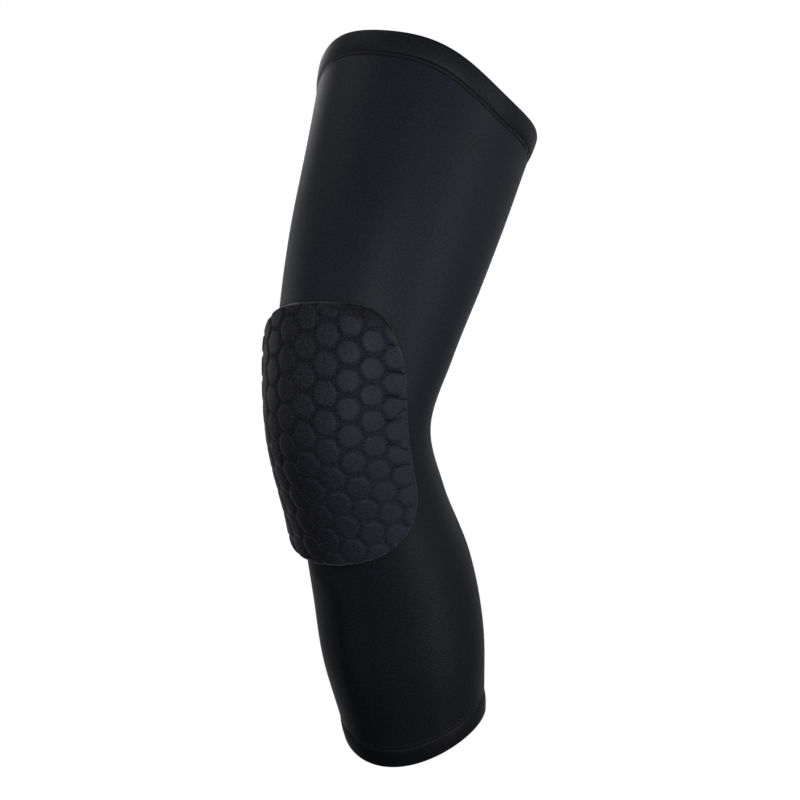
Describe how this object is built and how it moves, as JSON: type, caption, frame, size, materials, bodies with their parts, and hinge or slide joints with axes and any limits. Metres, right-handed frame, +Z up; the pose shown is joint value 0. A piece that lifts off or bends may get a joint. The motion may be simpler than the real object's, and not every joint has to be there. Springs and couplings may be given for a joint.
{
  "type": "padded knee sleeve",
  "caption": "Long elastic leg sleeve, worn form on a slightly bent knee, with a raised honeycomb foam pad over the knee cap and stitched hems.",
  "frame": {"origin": "middle of the knee, on the leg's own line, inside the sleeve", "axes": "+Z up the leg, -Y out through the knee cap, +X to one side"},
  "size_m": [0.1454, 0.2035, 0.4703],
  "materials": {
    "sleeve_knit": "smooth matt black warp knit of nylon and elastane",
    "hem_knit": "the same knit, turned and coverstitched",
    "pad_cover": "black knit bonded over moulded foam cells"
  },
  "bodies": {
    "root": {"sleeve": "sleeve_knit", "top_hem": "hem_knit", "bottom_hem": "hem_knit", "knee_pad": "pad_cover"}
  },
  "joints": []
}
